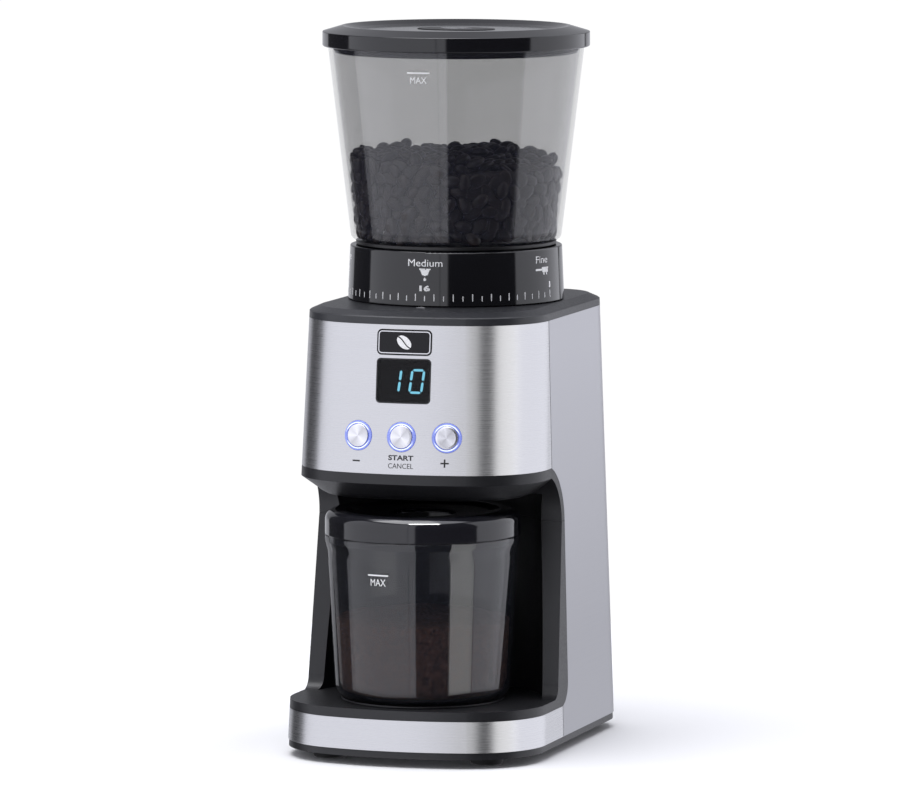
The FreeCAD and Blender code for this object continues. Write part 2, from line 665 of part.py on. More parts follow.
def make_motor():
    """DC motor can with its boss, cooling openings and terminals."""
    low, high, inner = MOTOR_LOW + 1.5, MOTOR_HIGH - 2.0, MOTOR_R - 1.6
    shell = [(0, MOTOR_LOW, 0), (MOTOR_R, MOTOR_LOW, 3.0), (MOTOR_R, MOTOR_HIGH, 2.0), (0, MOTOR_HIGH, 0)]
    can = turned(shell, y=MOTOR_Y)
    can = can.cut(turned([(0, low, 0), (inner, low, 2.0), (inner, high, 1.0), (0, high, 0)], y=MOTOR_Y))
    can = can.cut(cylinder(MOTOR_SHAFT_R + 0.05, 60, 150, 0, MOTOR_Y))
    slots = [around(box(10, 20, -2.5, 2.5, 60, MOTOR_LOW + 3), 60 * k, MOTOR_Y) for k in range(6)]
    can = can.cut(Part.makeCompound(slots))
    for x, y in MOTOR_BOLTS:
        can = can.cut(cylinder(1.3, MOTOR_HIGH - 5, 150, x, y))
    return can


def make_motor_screws():
    return Part.makeCompound([placed(screw(5.5, 2.8, 1.25), x, y, GEARBOX_FLOOR) for x, y in MOTOR_BOLTS])


def make_motor_rotor():
    """Laminated rotor with winding ends, round the motor's shaft."""
    bore = MOTOR_SHAFT_R
    core = tube(19.0, bore, 88, 124, 0, MOTOR_Y)
    slots = [around(box(9, 22, -1.6, 1.6, 80, 130), 36 * k, MOTOR_Y) for k in range(10)]
    core = core.cut(Part.makeCompound(slots))
    return join([core, tube(15.0, bore, 83, 129, 0, MOTOR_Y), tube(6.0, bore, 76.5, 83.5, 0, MOTOR_Y)])


def make_motor_magnets():
    ring = tube(MOTOR_R - 1.7, 20.0, 86, 126, 0, MOTOR_Y)
    return ring.cut(box(-3, 3, MOTOR_Y - 40, MOTOR_Y + 40, 60, 150))


def make_motor_shaft():
    return cylinder(MOTOR_SHAFT_R, MOTOR_LOW - 1, 159.6, 0, MOTOR_Y)


def make_idler_pin():
    return cylinder(IDLER_PIN_R, 146.2, 171.2, IDLER_X, IDLER_Y)


def make_burr_shaft():
    return turned([(0, 146.0, 0), (SHAFT_R, 146.0, 0.5), (SHAFT_R, 241.0, 0.5), (0, 241.0, 0)])


def make_inner_frame():
    """Plastic frame: a shelf that carries the gearbox and posts up to the deck and down to the pan."""
    shelf = layer(9.0, CEILING, 143.8).common(box(-100, 100, 26, 150, 0, 260))
    shelf = shelf.cut(cylinder(MOTOR_R + 1.2, 100, 200, 0, MOTOR_Y))
    posts = [(x, 34.0, FOOT_H + PAN_FLOOR + 0.05) for x in (-50.0, 50.0)]
    posts += [(x, y, PAN_BOSS_TOP + 0.05) for x, y in FEET[2:]]
    pillars = [box(x - 4, x + 4, y - 4, y + 4, z, DECK_BOTTOM + 2.9) for x, y, z in posts]
    return join([shelf] + pillars)


def make_power_board():
    low, high = 22.0, 23.6
    parts = [box(-40, 40, 38, 86, low, high)]
    components = [(-28, 50, 18, 14, 18), (-26, 74, 12, 12, 24), (2, 52, 16, 20, 12), (26, 70, 10, 22, 16)]
    for x, y, w, d, h in components:
        parts.append(box(x - w / 2, x + w / 2, y - d / 2, y + d / 2, high - 0.1, high + h))
    return join(parts)


# ---------------------------------------------------------------- grinding column

CHUTE_Y0, CHUTE_Y1, CHUTE_X = -52.0, -30.5, 13.0


def chute_outer(grow):
    """Outside of the grounds chute: a duct down the front of the chamber."""
    x, t = CHUTE_X + grow, 2.0 + grow
    front, back = CHUTE_Y0 - t, CHUTE_Y1 + t
    return box(-x - 2, x + 2, front, back, 138.6, 216.0)


def make_chute():
    """Duct that drops the ground coffee through the chin's ceiling into the canister."""
    duct = chute_outer(0).cut(box(-CHUTE_X, CHUTE_X, CHUTE_Y0, CHUTE_Y1, 130, 214))
    throat = box(-CHUTE_X - 2, CHUTE_X + 2, CHUTE_Y1, -25.5, 198.0, 216.0)
    throat = throat.cut(box(-CHUTE_X, CHUTE_X, CHUTE_Y1 - 3, -20, 200.0, 214.0))
    duct = duct.cut(box(-CHUTE_X, CHUTE_X, CHUTE_Y1 - 3, -20, 200.0, 214.0)).fuse(throat)
    return duct.cut(cylinder(CHAMBER_R + 0.1, 190, 230, 0, AXIS_Y)).removeSplitter()


def make_chamber():
    """Burr chamber: cup with a bearing seat in its floor and a mouth towards the chute."""
    cup = turned(
        [(5.2, 196.5, 0), (CHAMBER_R, 196.5, 1.5), (CHAMBER_R, CHAMBER_TOP, 0.6),
         (CHAMBER_IN, CHAMBER_TOP, 0.6), (CHAMBER_IN, CHAMBER_FLOOR, 1.0), (10.0, CHAMBER_FLOOR, 0),
         (10.0, 201.5, 0), (5.2, 201.5, 0)])
    cup = cup.fuse(tube(11.0, 5.2, 186.0, 197.0, 0, AXIS_Y)).cut(cylinder(7.0, 188.0, 192.05, 0, AXIS_Y))
    cup = cup.cut(cylinder(7.0, 180, 190, 0, AXIS_Y))
    ears = []
    for x, y in GEARBOX_BOLTS[:2]:
        ears.append(cylinder(4.0, 180.0, 197.5, x, y).cut(cylinder(1.3, 170, 192, x, y)))
    cup = join([cup] + ears)
    mouth = box(-CHUTE_X, CHUTE_X, -60, AXIS_Y - 30, 200.0, 214.0)
    return cup.cut(mouth).cut(lug_windows()).removeSplitter()


def lug_windows():
    """Two long windows in the chamber's wall, front and back, that the carrier's lugs travel in."""
    ring = tube(CHAMBER_R + 2, CHAMBER_IN - 2, LUG_LOW - 1.2, LUG_HIGH + 1.2, 0, AXIS_Y)
    half = math.radians(90 - WINDOW_HALF_ANGLE) * CHAMBER_R
    return ring.cut(box(-60, 60, AXIS_Y - half, AXIS_Y + half, 240, 262))


def make_impeller():
    """Sweeper under the burrs, which carries the grounds round to the mouth."""
    low, top, hub_top = 202.2, 204.0, 208.4
    disc = turned([(SHAFT_R, low, 0), (39.0, low, 0), (39.0, top, 0.5), (8.0, top, 0), (8.0, hub_top, 0),
                   (SHAFT_R, hub_top, 0)])
    vanes = [around(box(22, 38.4, -1.0, 1.0, top - 0.1, 207.4), 60 * k + 12) for k in range(6)]
    return join([disc] + vanes)


def make_cone_burr():
    """Inner conical burr with slanting flutes."""
    cone = turned([(SHAFT_R, 208.5, 0), (20.4, 208.5, 0), (18.9, 215.5, 0), (10.0, 236.5, 0),
                   (SHAFT_R, 236.5, 0)])
    flutes = []
    for k in range(12):
        cut = box(-0.9, 0.9, 0, 30, 0, 40)
        cut.rotate(Vector(0, 0, 0), Vector(1, 0, 0), 24)
        cut.rotate(Vector(0, 0, 0), Vector(0, 1, 0), 22)
        flutes.append(around(placed(cut, 0, 17.0, 213.0), 30 * k))
    return cone.cut(Part.makeCompound(flutes))


def make_burr_nut():
    flat = math.pi / 3
    points = [Vector(6 * math.cos(k * flat), AXIS_Y + 6 * math.sin(k * flat), 236.6) for k in range(6)]
    nut = Part.Face(Part.makePolygon(points + points[:1])).extrude(Vector(0, 0, 4.0))
    return nut.cut(cylinder(SHAFT_R, 230, 250, 0, AXIS_Y))


CARRIER_LOW = 210.0


def make_ring_burr():
    """Outer ring burr with cutting grooves down its inside."""
    ring = turned([(21.8, CARRIER_LOW, 0), (30.0, CARRIER_LOW, 0.4), (30.0, 227.0, 0.4), (26.5, 227.0, 0),
                   (20.4, 216.5, 0)])
    grooves = [around(box(20, 24.5, -0.5, 0.5, 200, 230), 12 * k + 4) for k in range(30)]
    return ring.cut(Part.makeCompound(grooves))


def make_burr_carrier():
    """Carrier of the ring burr, screwed into the chamber and turned by the grind ring."""
    body = turned(
        [(30.1, CARRIER_LOW, 0), (40.2, CARRIER_LOW, 0.5), (40.2, LUG_HIGH, 0), (36.0, LUG_HIGH, 0),
         (36.0, 248.0, 0), (26.6, 229.0, 0), (26.6, 227.1, 0), (30.1, 227.1, 0)])
    lug = box(38.0, 52.5, -LUG_HALF, LUG_HALF, LUG_LOW, LUG_HIGH)
    return join([body] + [around(lug, a) for a in (90, 270)])


def make_grind_ring():
    """Grind-setting ring: tapered outside, inner web, top flange and two forks round the carrier's lugs."""
    ring = turned(
        [(45.0, 243.0, 0), (54.0, 243.0, 0), (55.6, RING_BOTTOM, 0), (RING_R_LOW, RING_BOTTOM, 0.5),
         (RING_R_HIGH, RING_TOP, 0.8), (50.0, RING_TOP, 0.4), (50.0, 268.4, 0), (54.4, 268.4, 1.0),
         (55.3, 246.0, 1.0), (45.0, 246.0, 0)])
    forks = []
    for a in (90, 270):
        for side in (-1, 1):
            rib = box(46.5, 56.3, -1.4, 1.4, 244.5, LUG_HIGH + 1.5)
            rib.translate(Vector(0, side * (LUG_HALF + 0.3 + 1.4), 0))
            forks.append(around(rib, a))
    return join([ring] + forks)


def make_hopper():
    """Clear smoked hopper: conical wall, rounded lower edge and a sloping floor with a hole in the middle."""
    w = HOPPER_WALL
    floor_in, floor_out = HOPPER_BOTTOM + w - 1.0, HOPPER_BOTTOM + w + 1.6
    return turned(
        [(NECK_IN, HOPPER_BOTTOM, 0), (HOPPER_R_LOW - 0.6, HOPPER_BOTTOM, 4.0),
         (HOPPER_R_HIGH, HOPPER_TOP, 0.5), (HOPPER_R_HIGH - w, HOPPER_TOP, 0.5),
         (HOPPER_R_LOW - w - 0.3, floor_out, 3.5), (NECK_IN, floor_in, 0)])


def make_hopper_collar():
    """Black collar fixed under the hopper: outlet neck, locking flange and the step over the ring."""
    top = HOPPER_BOTTOM - 0.05
    return turned(
        [(NECK_IN, NECK_LOW, 0), (NECK_R, NECK_LOW, 0.5), (NECK_R, 268.0, 0), (43.0, 268.0, 0),
         (43.0, 260.0, 0), (46.0, 260.0, 0.5), (46.0, 262.6, 0), (49.4, 264.0, 0.5),
         (49.4, RING_TOP + 0.4, 0),
         (COLLAR_R, RING_TOP + 0.4, 0.4), (COLLAR_R, top, 0.3), (NECK_IN, top, 0)])


def make_hopper_lid():
    """Black lid: straight rim, shallow outer bevel, raised ridge and a recessed middle."""
    return turned(
        [(LID_R, LID_BOTTOM, 0.9), (LID_R, LID_EDGE, 0.5), (LID_PEAK_R, LID_TOP, 0.5),
         (LID_PEAK_R - 1.6, LID_TOP, 0.5), (LID_FLOOR_R, LID_FLOOR, 0.4), (0, LID_FLOOR, 0), (0, 385.6, 0),
         (63.6, 385.6, 1.0), (63.6, 375.4, 0.4), (65.8, 375.4, 0.4), (65.8, 381.8, 0.6), (70.5, 381.8, 0.4),
         (70.5, LID_BOTTOM, 0.4)])


def make_lid_gasket():
    """Soft lip round the lid's skirt."""
    inner = 65.85
    return turned(
        [(inner, 376.6, 0), (66.55, 376.9, 0.2), (66.7, 378.4, 0.2), (66.2, 379.6, 0), (inner, 379.6, 0)])


def make_lid_emblem():
    """Thin oval plate let into the lid's recess."""
    plate = cylinder(16.0, LID_FLOOR, LID_FLOOR + 0.3)
    frame = FreeCAD.Matrix()
    frame.scale(1.35, 0.85, 1)
    plate = plate.transformGeometry(frame)
    plate.translate(Vector(0, AXIS_Y, 0))
    return plate


# ---------------------------------------------------------------- canister


def make_canister():
    """Clear smoked canister: rounded foot, slight taper, flared rim."""
    w, floor = CAN_WALL, CAN_BOTTOM + CAN_WALL + 0.4
    return turned(
        [(0, CAN_BOTTOM, 0), (CAN_R_LOW, CAN_BOTTOM, 7.5), (CAN_R_HIGH, 110.5, 12.0), (CAN_R_RIM, 116.5, 4.0),
         (CAN_R_RIM, CAN_RIM, 0.4), (CAN_R_RIM - w, CAN_RIM, 0.4), (CAN_R_RIM - w, 114.5, 3.0),
         (CAN_R_HIGH - w, 109.0, 8.0), (CAN_R_LOW - w, floor, 5.5), (0, floor, 0)],
        y=CAN_Y)


def make_canister_pad():
    """Black non-slip ring under the canister."""
    low = TRAY_TOP + 0.1
    return turned([(30.0, low, 0), (44.0, low, 0.3), (44.0, CAN_BOTTOM, 0.3), (30.0, CAN_BOTTOM, 0)], y=CAN_Y)


def make_canister_lid():
    """Black lid: rounded edge, slightly dished top and a hole under the chute."""
    low, top, skirt = CAN_RIM + 0.3, CAN_LID_TOP, 115.2
    skirt_r = CAN_R_RIM - CAN_WALL - 0.7
    return turned(
        [(CAN_R_RIM, low, 0.5), (CAN_R_RIM - 0.1, top, 5.5), (42.0, top, 3.0), (36.0, top - 1.6, 3.0),
         (CAN_LID_HOLE + 1.0, top - 2.2, 0.8), (CAN_LID_HOLE, top - 4.2, 0.4),
         (CAN_LID_HOLE + 1.8, top - 4.4, 0.4),
         (46.5, top - 4.2, 1.5), (skirt_r - 2.0, skirt, 0.4), (skirt_r, skirt, 0.4), (skirt_r + 0.2, low, 0)],
        y=CAN_Y)


# ---------------------------------------------------------------- output


def nodes():
    """Every node's name and shape."""
    made = {
        "base_pan": make_base_pan(),
        "rubber_feet": make_feet(),
        "base_screws": make_base_screws(),
        "base_steel_band": make_base_band(),
        "bay_liner": make_bay_liner(),
        "head_chin": make_chin(),
        "front_panel": make_front_panel(),
        "left_side_panel": make_side_panel(-1),
        "right_side_panel": make_side_panel(1),
        "rear_cover": make_rear_cover(),
        "rear_cover_screws": make_rear_screws(),
        "cord_gland": make_cord_gland(),
        "top_deck": make_top_deck(),
        "setting_pointer": make_pointer(),
        "name_plate": make_badge(),
        "button_light_rings": make_light_rings(),
        "display_window": make_display_window(),
        "display_digits": make_display_digits(),
        "display_module": make_display_module(),
        "control_board": make_control_board(),
        "tact_switches": make_switches(),
        "inner_frame": make_inner_frame(),
        "power_board": make_power_board(),
        "gearbox_base": make_gearbox_base(),
        "gearbox_cover": make_gearbox_cover(),
        "gearbox_screws": make_gearbox_screws(),
        "idler_pin": make_idler_pin(),
        "motor_can": make_motor(),
        "motor_magnets": make_motor_magnets(),
        "motor_screws": make_motor_screws(),
        "burr_chamber": make_chamber(),
        "grounds_chute": make_chute(),
        "motor_shaft": make_motor_shaft(),
        "motor_rotor": make_motor_rotor(),
        "motor_pinion": make_motor_pinion(),
        "idler_gear": make_idler_gear(),
        "burr_shaft": make_burr_shaft(),
        "output_gear": make_output_gear(),
        "impeller": make_impeller(),
        "cone_burr": make_cone_burr(),
        "burr_nut": make_burr_nut(),
        "grind_ring": make_grind_ring(),
        "burr_carrier": make_burr_carrier(),
        "ring_burr": make_ring_burr(),
        "hopper": make_hopper(),
        "hopper_collar": make_hopper_collar(),
        "hopper_lid": make_hopper_lid(),
        "lid_gasket": make_lid_gasket(),
        "lid_emblem": make_lid_emblem(),
        "canister": make_canister(),
        "canister_pad": make_canister_pad(),
        "canister_lid": make_canister_lid(),
    }
    for i, name in enumerate(BUTTON_NAMES):
        made["button_" + name] = make_button(i)
    for name, z in BEARING_LEVELS.items():
        made["shaft_bearing_" + name] = make_bearing(z)
    return made


def main():
    os.makedirs(OUT, exist_ok=True)
    for old in os.listdir(OUT):
        os.remove(os.path.join(OUT, old))
    for name, shape in nodes().items():
        solids = shape.Solids
        valid = shape.isValid() and all(s.isClosed() and s.Volume > 0 for s in solids)
        if not solids or not valid:
            print("CHECK", name, "solids", len(solids), "valid", shape.isValid())
        keep = solids[0] if len(solids) == 1 else Part.makeCompound(solids)
        keep.exportStep(os.path.join(OUT, name + ".step"))


main()
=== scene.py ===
import json
import math
import random

import bmesh
import bpy
from mathutils import Euler, Matrix, Vector, noise


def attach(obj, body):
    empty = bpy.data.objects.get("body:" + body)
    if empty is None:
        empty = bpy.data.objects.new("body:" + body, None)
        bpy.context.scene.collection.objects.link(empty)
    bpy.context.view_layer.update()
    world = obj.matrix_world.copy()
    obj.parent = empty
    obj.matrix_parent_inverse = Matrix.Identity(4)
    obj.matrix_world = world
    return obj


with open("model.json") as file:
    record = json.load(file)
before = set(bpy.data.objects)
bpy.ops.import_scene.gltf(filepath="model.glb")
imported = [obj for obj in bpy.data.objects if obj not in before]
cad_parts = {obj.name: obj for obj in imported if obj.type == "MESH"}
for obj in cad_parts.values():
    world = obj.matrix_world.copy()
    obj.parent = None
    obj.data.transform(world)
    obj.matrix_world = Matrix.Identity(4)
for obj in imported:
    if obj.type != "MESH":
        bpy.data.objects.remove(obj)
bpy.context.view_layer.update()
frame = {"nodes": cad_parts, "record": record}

MM = 0.001
rng = random.Random(7)

# Shapes shared with the CAD model, in millimetres. A cone is two pairs of (height, radius).
FRONT_Y_0, FRONT_DRAFT, FRONT_RADIUS = -103.4, 24.0 / 235, 153.0
AXIS_Y, CANISTER_Y = 12.6, -47.7
RING_LOW, RING_HIGH = (241.9, 58.8), (271.2, 57.6)
HOPPER_LOW, HOPPER_HIGH = (273.6, 57.4), (381.2, 69.9)
HOPPER_WALL = 2.4
CANISTER_LOW, CANISTER_HIGH = (31.3, 47.1), (110.5, 51.2)
CANISTER_WALL, CANISTER_FLOOR, CANISTER_CORNER = 2.2, 33.9, 5.5
BUTTONS = ((-24.8, "minus"), (0.0, "start"), (24.8, "plus"))
BUTTON_Z = 175.5
EMBLEM_TOP = 388.3


def between(low, high, z):
    """Radius at a height on the cone through two (height, radius) pairs."""
    return low[1] + (high[1] - low[1]) * (z - low[0]) / (high[0] - low[0])


def front_point(x, z):
    """Point in mm on the leaning, bowed front, and how far the bow has turned there."""
    turn = math.asin(x / FRONT_RADIUS)
    return Vector((x, FRONT_Y_0 + FRONT_DRAFT * z + FRONT_RADIUS * (1 - math.cos(turn)), z)), turn


# ---------------------------------------------------------------- materials

MATERIALS = {}
NOISE_LOW, NOISE_HIGH = 0.3, 0.7  # the part of its range that a noise mostly stays in


class Nodes:
    """A material in MATERIALS, with helpers to wire its node tree."""

    def __init__(self, name):
        self.mat = bpy.data.materials.new(name)
        self.mat.use_nodes = True
        self.tree = self.mat.node_tree
        self.bsdf = self.tree.nodes["Principled BSDF"]
        self.coords = None
        MATERIALS[name] = self.mat

    def node(self, kind, inputs=(), **settings):
        made = self.tree.nodes.new(kind)
        for key, value in settings.items():
            setattr(made, key, value)
        for key, value in dict(inputs).items():
            made.inputs[key].default_value = value
        return made

    def link(self, a, b):
        self.tree.links.new(a, b)

    def object_coords(self):
        if self.coords is None:
            self.coords = self.node("ShaderNodeTexCoord").outputs["Object"]
        return self.coords

    def noise(self, scale, detail=3.0, stretch=(1, 1, 1), rough=0.5):
        mapping = self.node("ShaderNodeMapping", {"Scale": stretch})
        self.link(self.object_coords(), mapping.inputs["Vector"])
        tex = self.node("ShaderNodeTexNoise", {"Scale": scale, "Detail": detail, "Roughness": rough})
        self.link(mapping.outputs["Vector"], tex.inputs["Vector"])
        return tex.outputs["Fac"]

    def ramp(self, source, stops, target):
        ramp = self.node("ShaderNodeValToRGB")
        ends = ramp.color_ramp.elements
        ends[0].position, ends[0].color = stops[0]
        ends[1].position, ends[1].color = stops[-1]
        for position, colour in stops[1:-1]:
            ends.new(position).color = colour
        self.link(source, ramp.inputs["Fac"])
        self.link(ramp.outputs["Color"], self.bsdf.inputs[target])
        return ramp

    def vary(self, source, dark, light, target):
        """Two colours blended by a noise."""
        return self.ramp(source, [(NOISE_LOW, dark), (NOISE_HIGH, light)], target)

    def spread(self, source, low, high, target):
        """A number that a noise moves between low and high."""
        span = self.node("ShaderNodeMapRange", {"From Min": NOISE_LOW, "From Max": NOISE_HIGH,
                                                "To Min": low, "To Max": high})
        self.link(source, span.inputs["Value"])
        self.link(span.outputs["Result"], self.bsdf.inputs[target])

    def bump(self, source, strength, distance):
        bump = self.node("ShaderNodeBump", {"Strength": strength, "Distance": distance})
        self.link(source, bump.inputs["Height"])
        self.link(bump.outputs["Normal"], self.bsdf.inputs["Normal"])

    def set(self, values):
        for key, value in values.items():
            self.bsdf.inputs[key].default_value = value


def tint(colour, factor):
    return tuple(c * factor for c in colour) + (1.0,)


def plastic(name, colour, rough, grain=900.0, bump=0.1, specular=0.5, coat=0.0):
    """Moulded plastic or rubber: faint colour variation, spark-eroded grain."""
    m = Nodes(name)
    m.vary(m.noise(24.0), tint(colour, 0.85), tint(colour, 1.15), "Base Color")
    fine = m.noise(grain, 2.0)
    m.spread(fine, *rough, "Roughness")
    if bump:
        m.bump(fine, bump, 0.00005)
    m.set({"Specular IOR Level": specular, "Coat Weight": coat, "Coat Roughness": 0.04})


def metal(name, colour, rough, stretch, scale=8.0, bump=0.06, variation=0.06, painted_light_rise=None):
    """Bare metal, brushed along the unstretched directions.

    When given, the last argument, a tuple (low, high, gain), adds painted light: the colour grows by gain
    from one level in mm up to another, so the upper part is drawn lighter, as if more light falls there.
    """
    m = Nodes(name)
    lines = m.noise(scale, 4.0, stretch, 0.65)
    ramp = m.vary(lines, tint(colour, 1 - variation), tint(colour, 1 + variation), "Base Color")
    # Painted light: the base colour is scaled up with height, so the top is drawn lighter.
    if painted_light_rise:
        low, high, gain = painted_light_rise
        split = m.node("ShaderNodeSeparateXYZ")
        m.link(m.object_coords(), split.inputs[0])
        span = m.node("ShaderNodeMapRange", {"From Min": low * MM, "From Max": high * MM,
                                             "To Min": 1.0, "To Max": gain})
        m.link(split.outputs["Z"], span.inputs["Value"])
        lighten = m.node("ShaderNodeVectorMath", operation="SCALE")
        m.link(ramp.outputs["Color"], lighten.inputs[0])
        m.link(span.outputs["Result"], lighten.inputs["Scale"])
        m.link(lighten.outputs["Vector"], m.bsdf.inputs["Base Color"])
    m.spread(lines, *rough, "Roughness")
    m.bump(lines, bump, 0.00003)
    m.set({"Metallic": 1.0})


def clear(name, colour, alpha, rough=(0.02, 0.05), specular=1.0, coat=1.0):
    """Smoked clear plastic, seen through."""
    m = Nodes(name)
    m.vary(m.noise(8.0), tint(colour, 0.95), tint(colour, 1.05), "Base Color")
    m.spread(m.noise(60.0), *rough, "Roughness")
    m.set({"Alpha": alpha, "Specular IOR Level": specular, "IOR": 1.5, "Coat Weight": coat,
           "Coat Roughness": 0.02, "Coat IOR": 1.65})


def glow(name, colour, strength, base=(0.1, 0.1, 0.1)):
    """Lit part with a slight unevenness."""
    m = Nodes(name)
    cloud = m.noise(300.0)
    m.vary(cloud, tint(colour, 0.9), tint(colour, 1.0), "Emission Color")
    m.vary(cloud, tint(base, 0.9), tint(base, 1.0), "Base Color")
    m.set({"Emission Strength": strength, "Roughness": 0.3})


def spun(name, colour, x, z):
    """Turned metal face with painted reflection: bright and dark fans of painted highlight and shade round
    the middle of a cap on the front at (x, z).
    """
    m = Nodes(name)
    middle = front_point(x, z)[0] * MM
    swing = m.node("ShaderNodeMapping", {"Rotation": (math.radians(-90), 0, 0)})
    shift = m.node("ShaderNodeMapping", {"Location": (-middle.x, -middle.z, middle.y)})
    fan = m.node("ShaderNodeTexGradient", gradient_type="RADIAL")
    m.link(m.object_coords(), swing.inputs["Vector"])
    m.link(swing.outputs["Vector"], shift.inputs["Vector"])
    m.link(shift.outputs["Vector"], fan.inputs["Vector"])
    # Painted highlight and shade: the colour runs light, dark and mid by the angle round the cap's middle, in
    # place of the turned face's reflection.
    dark, mid, light = tint(colour, 0.70), tint(colour, 0.88), tint(colour, 1.08)
    m.ramp(fan.outputs["Fac"], [(0.0, light), (0.14, dark), (0.27, mid), (0.38, light), (0.5, mid),
                                (0.64, dark), (0.78, light), (0.9, mid), (1.0, light)], "Base Color")
    m.spread(m.noise(900.0), 0.26, 0.38, "Roughness")
    m.set({"Metallic": 1.0})


def coffee(name, dark, light, scale, relief, rough):
    """Roasted beans or grounds: mottled brown with a rough surface."""
    m = Nodes(name)
    grain = m.noise(scale, 6.0, rough=0.7)
    m.ramp(grain, [(NOISE_LOW, tint(dark, 1.0)), (0.72, tint(light, 1.0))], "Base Color")
    m.spread(m.noise(scale * 0.4), *rough, "Roughness")
    m.bump(grain, 0.6, relief)


EVEN_GRAIN = (30, 30, 30)
plastic("black_satin", (0.012, 0.012, 0.014), (0.34, 0.44))
plastic("black_gloss", (0.005, 0.005, 0.007), (0.06, 0.10), grain=200.0, bump=0.0, coat=0.35)
plastic("plate_black", (0.006, 0.006, 0.008), (0.10, 0.16), grain=200.0, bump=0.0, specular=0.28)
plastic("dark_grey", (0.026, 0.027, 0.031), (0.30, 0.40))
plastic("rubber", (0.010, 0.010, 0.010), (0.65, 0.8), grain=1400.0, bump=0.2, specular=0.3)
plastic("grey_plastic", (0.22, 0.23, 0.24), (0.45, 0.55))
plastic("white_nylon", (0.72, 0.71, 0.66), (0.35, 0.5), grain=500.0, bump=0.05)
plastic("circuit_board", (0.02, 0.14, 0.06), (0.3, 0.5), grain=300.0, bump=0.05)
plastic("emblem_grey", (0.30, 0.30, 0.31), (0.3, 0.4), grain=800.0, bump=0.05)
plastic("white_print", (0.92, 0.92, 0.92), (0.4, 0.5), bump=0.0)
plastic("black_print", (0.015, 0.015, 0.016), (0.4, 0.5), bump=0.0)
metal("brushed_steel", (0.62, 0.62, 0.635), (0.24, 0.33), (3, 3, 1400), 6.0, 0.014, 0.04)
# silver_panel carries painted light: its colour grows 1.30 times from 60 mm up to 220 mm.
metal("silver_panel", (0.415, 0.415, 0.435), (0.34, 0.44), (2, 2, 500), 6.0, 0.02, 0.025, (60, 220, 1.30))
metal("burr_steel", (0.45, 0.45, 0.46), (0.25, 0.4), (60, 60, 4), 10.0)
metal("screw_steel", (0.42, 0.42, 0.44), (0.28, 0.4), EVEN_GRAIN)
metal("magnet", (0.10, 0.10, 0.11), (0.5, 0.7), EVEN_GRAIN)
metal("rotor_iron", (0.32, 0.25, 0.20), (0.35, 0.5), (4, 4, 900))
metal("chrome", (0.74, 0.74, 0.76), (0.16, 0.28), (90, 90, 90), 12.0, 0.03)
clear("hopper_clear", (0.020, 0.021, 0.034), 0.29)
clear("canister_clear", (0.010, 0.011, 0.016), 0.37, specular=0.7)
clear("display_smoke", (0.004, 0.004, 0.005), 0.6, rough=(0.06, 0.1), specular=0.25, coat=0.0)
glow("cyan_lit", (0.24, 0.70, 0.92), 5.5)
glow("blue_lit", (0.09, 0.13, 0.62), 0.55, (0.25, 0.30, 0.60))
glow("white_lit", (0.62, 0.70, 1.0), 1.3, (0.4, 0.4, 0.6))
coffee("beans", (0.005, 0.003, 0.002), (0.024, 0.012, 0.007), 90.0, 0.0003, (0.26, 0.40))
coffee("grounds", (0.012, 0.005, 0.003), (0.17, 0.068, 0.037), 480.0, 0.0009, (0.75, 0.95))

# A node wears the material named like its slot, unless the slot or the node has its own here.
SLOT_MATERIAL = {"smoked_clear": "hopper_clear", "smoked_dark": "canister_clear", "light_guide": "blue_lit",
                 "display_cyan": "cyan_lit"}
NODE_MATERIAL = {"name_plate": "plate_black", "lid_emblem": "black_satin", "canister_pad": "black_satin"}
# Each button cap wears its own material, with painted highlight and shade fans.
for x, name in BUTTONS:
    spun("spun_" + name, (0.86, 0.86, 0.90), x, BUTTON_Z)
    NODE_MATERIAL["button_" + name] = "spun_" + name
for part in frame["record"]["subparts"]:
    slot = part["material_slot"]
    material = NODE_MATERIAL.get(part["node"], SLOT_MATERIAL.get(slot, slot))
    worn = frame["nodes"][part["node"]].data.materials
    worn.clear()
    worn.append(MATERIALS[material])


# ---------------------------------------------------------------- mesh and print helpers

PRINT_LIFT, PRINT_THICK, PRINT_SUNK = 0.03, 0.05, 0.02


def add_object(name, mesh, material, body):
    obj = bpy.data.objects.new(name, mesh)
    bpy.context.scene.collection.objects.link(obj)
    mesh.materials.clear()
    mesh.materials.append(MATERIALS[material])
    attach(obj, body)


def make_mesh(name, verts, faces, material, body, smooth=False):
    mesh = bpy.data.meshes.new(name)
    mesh.from_pydata([tuple(v) for v in verts], [], faces)
    mesh.validate()
    if smooth:
        mesh.shade_smooth()
    add_object(name, mesh, material, body)


def on_cone(axis_y, low, high, angle, z0):
    """Maps flat (u, v, height) in mm onto a cone's outside, centred at an angle from the front."""

    def place(u, v, h):
        r = between(low, high, z0 + v)
        a = math.radians(angle) + u / r
        return Vector((math.sin(a), -math.cos(a), 0)) * ((r + h) * MM) + Vector((0, axis_y, z0 + v)) * MM

    return place


def on_front(x0, z0):
    """Maps flat (u, v, height) in mm onto the leaning, bowed front."""

    def place(u, v, h):
        point, turn = front_point(x0 + u, z0 + v)
        normal = Vector((math.sin(turn), -math.cos(turn), FRONT_DRAFT)).normalized()
        return (point + normal * h) * MM

    return place


def on_disc(x0, y0, z0):
    """Maps flat (u, v, height) in mm onto a level surface."""
    return lambda u, v, h: Vector((x0 + u, y0 + v, z0 + h)) * MM


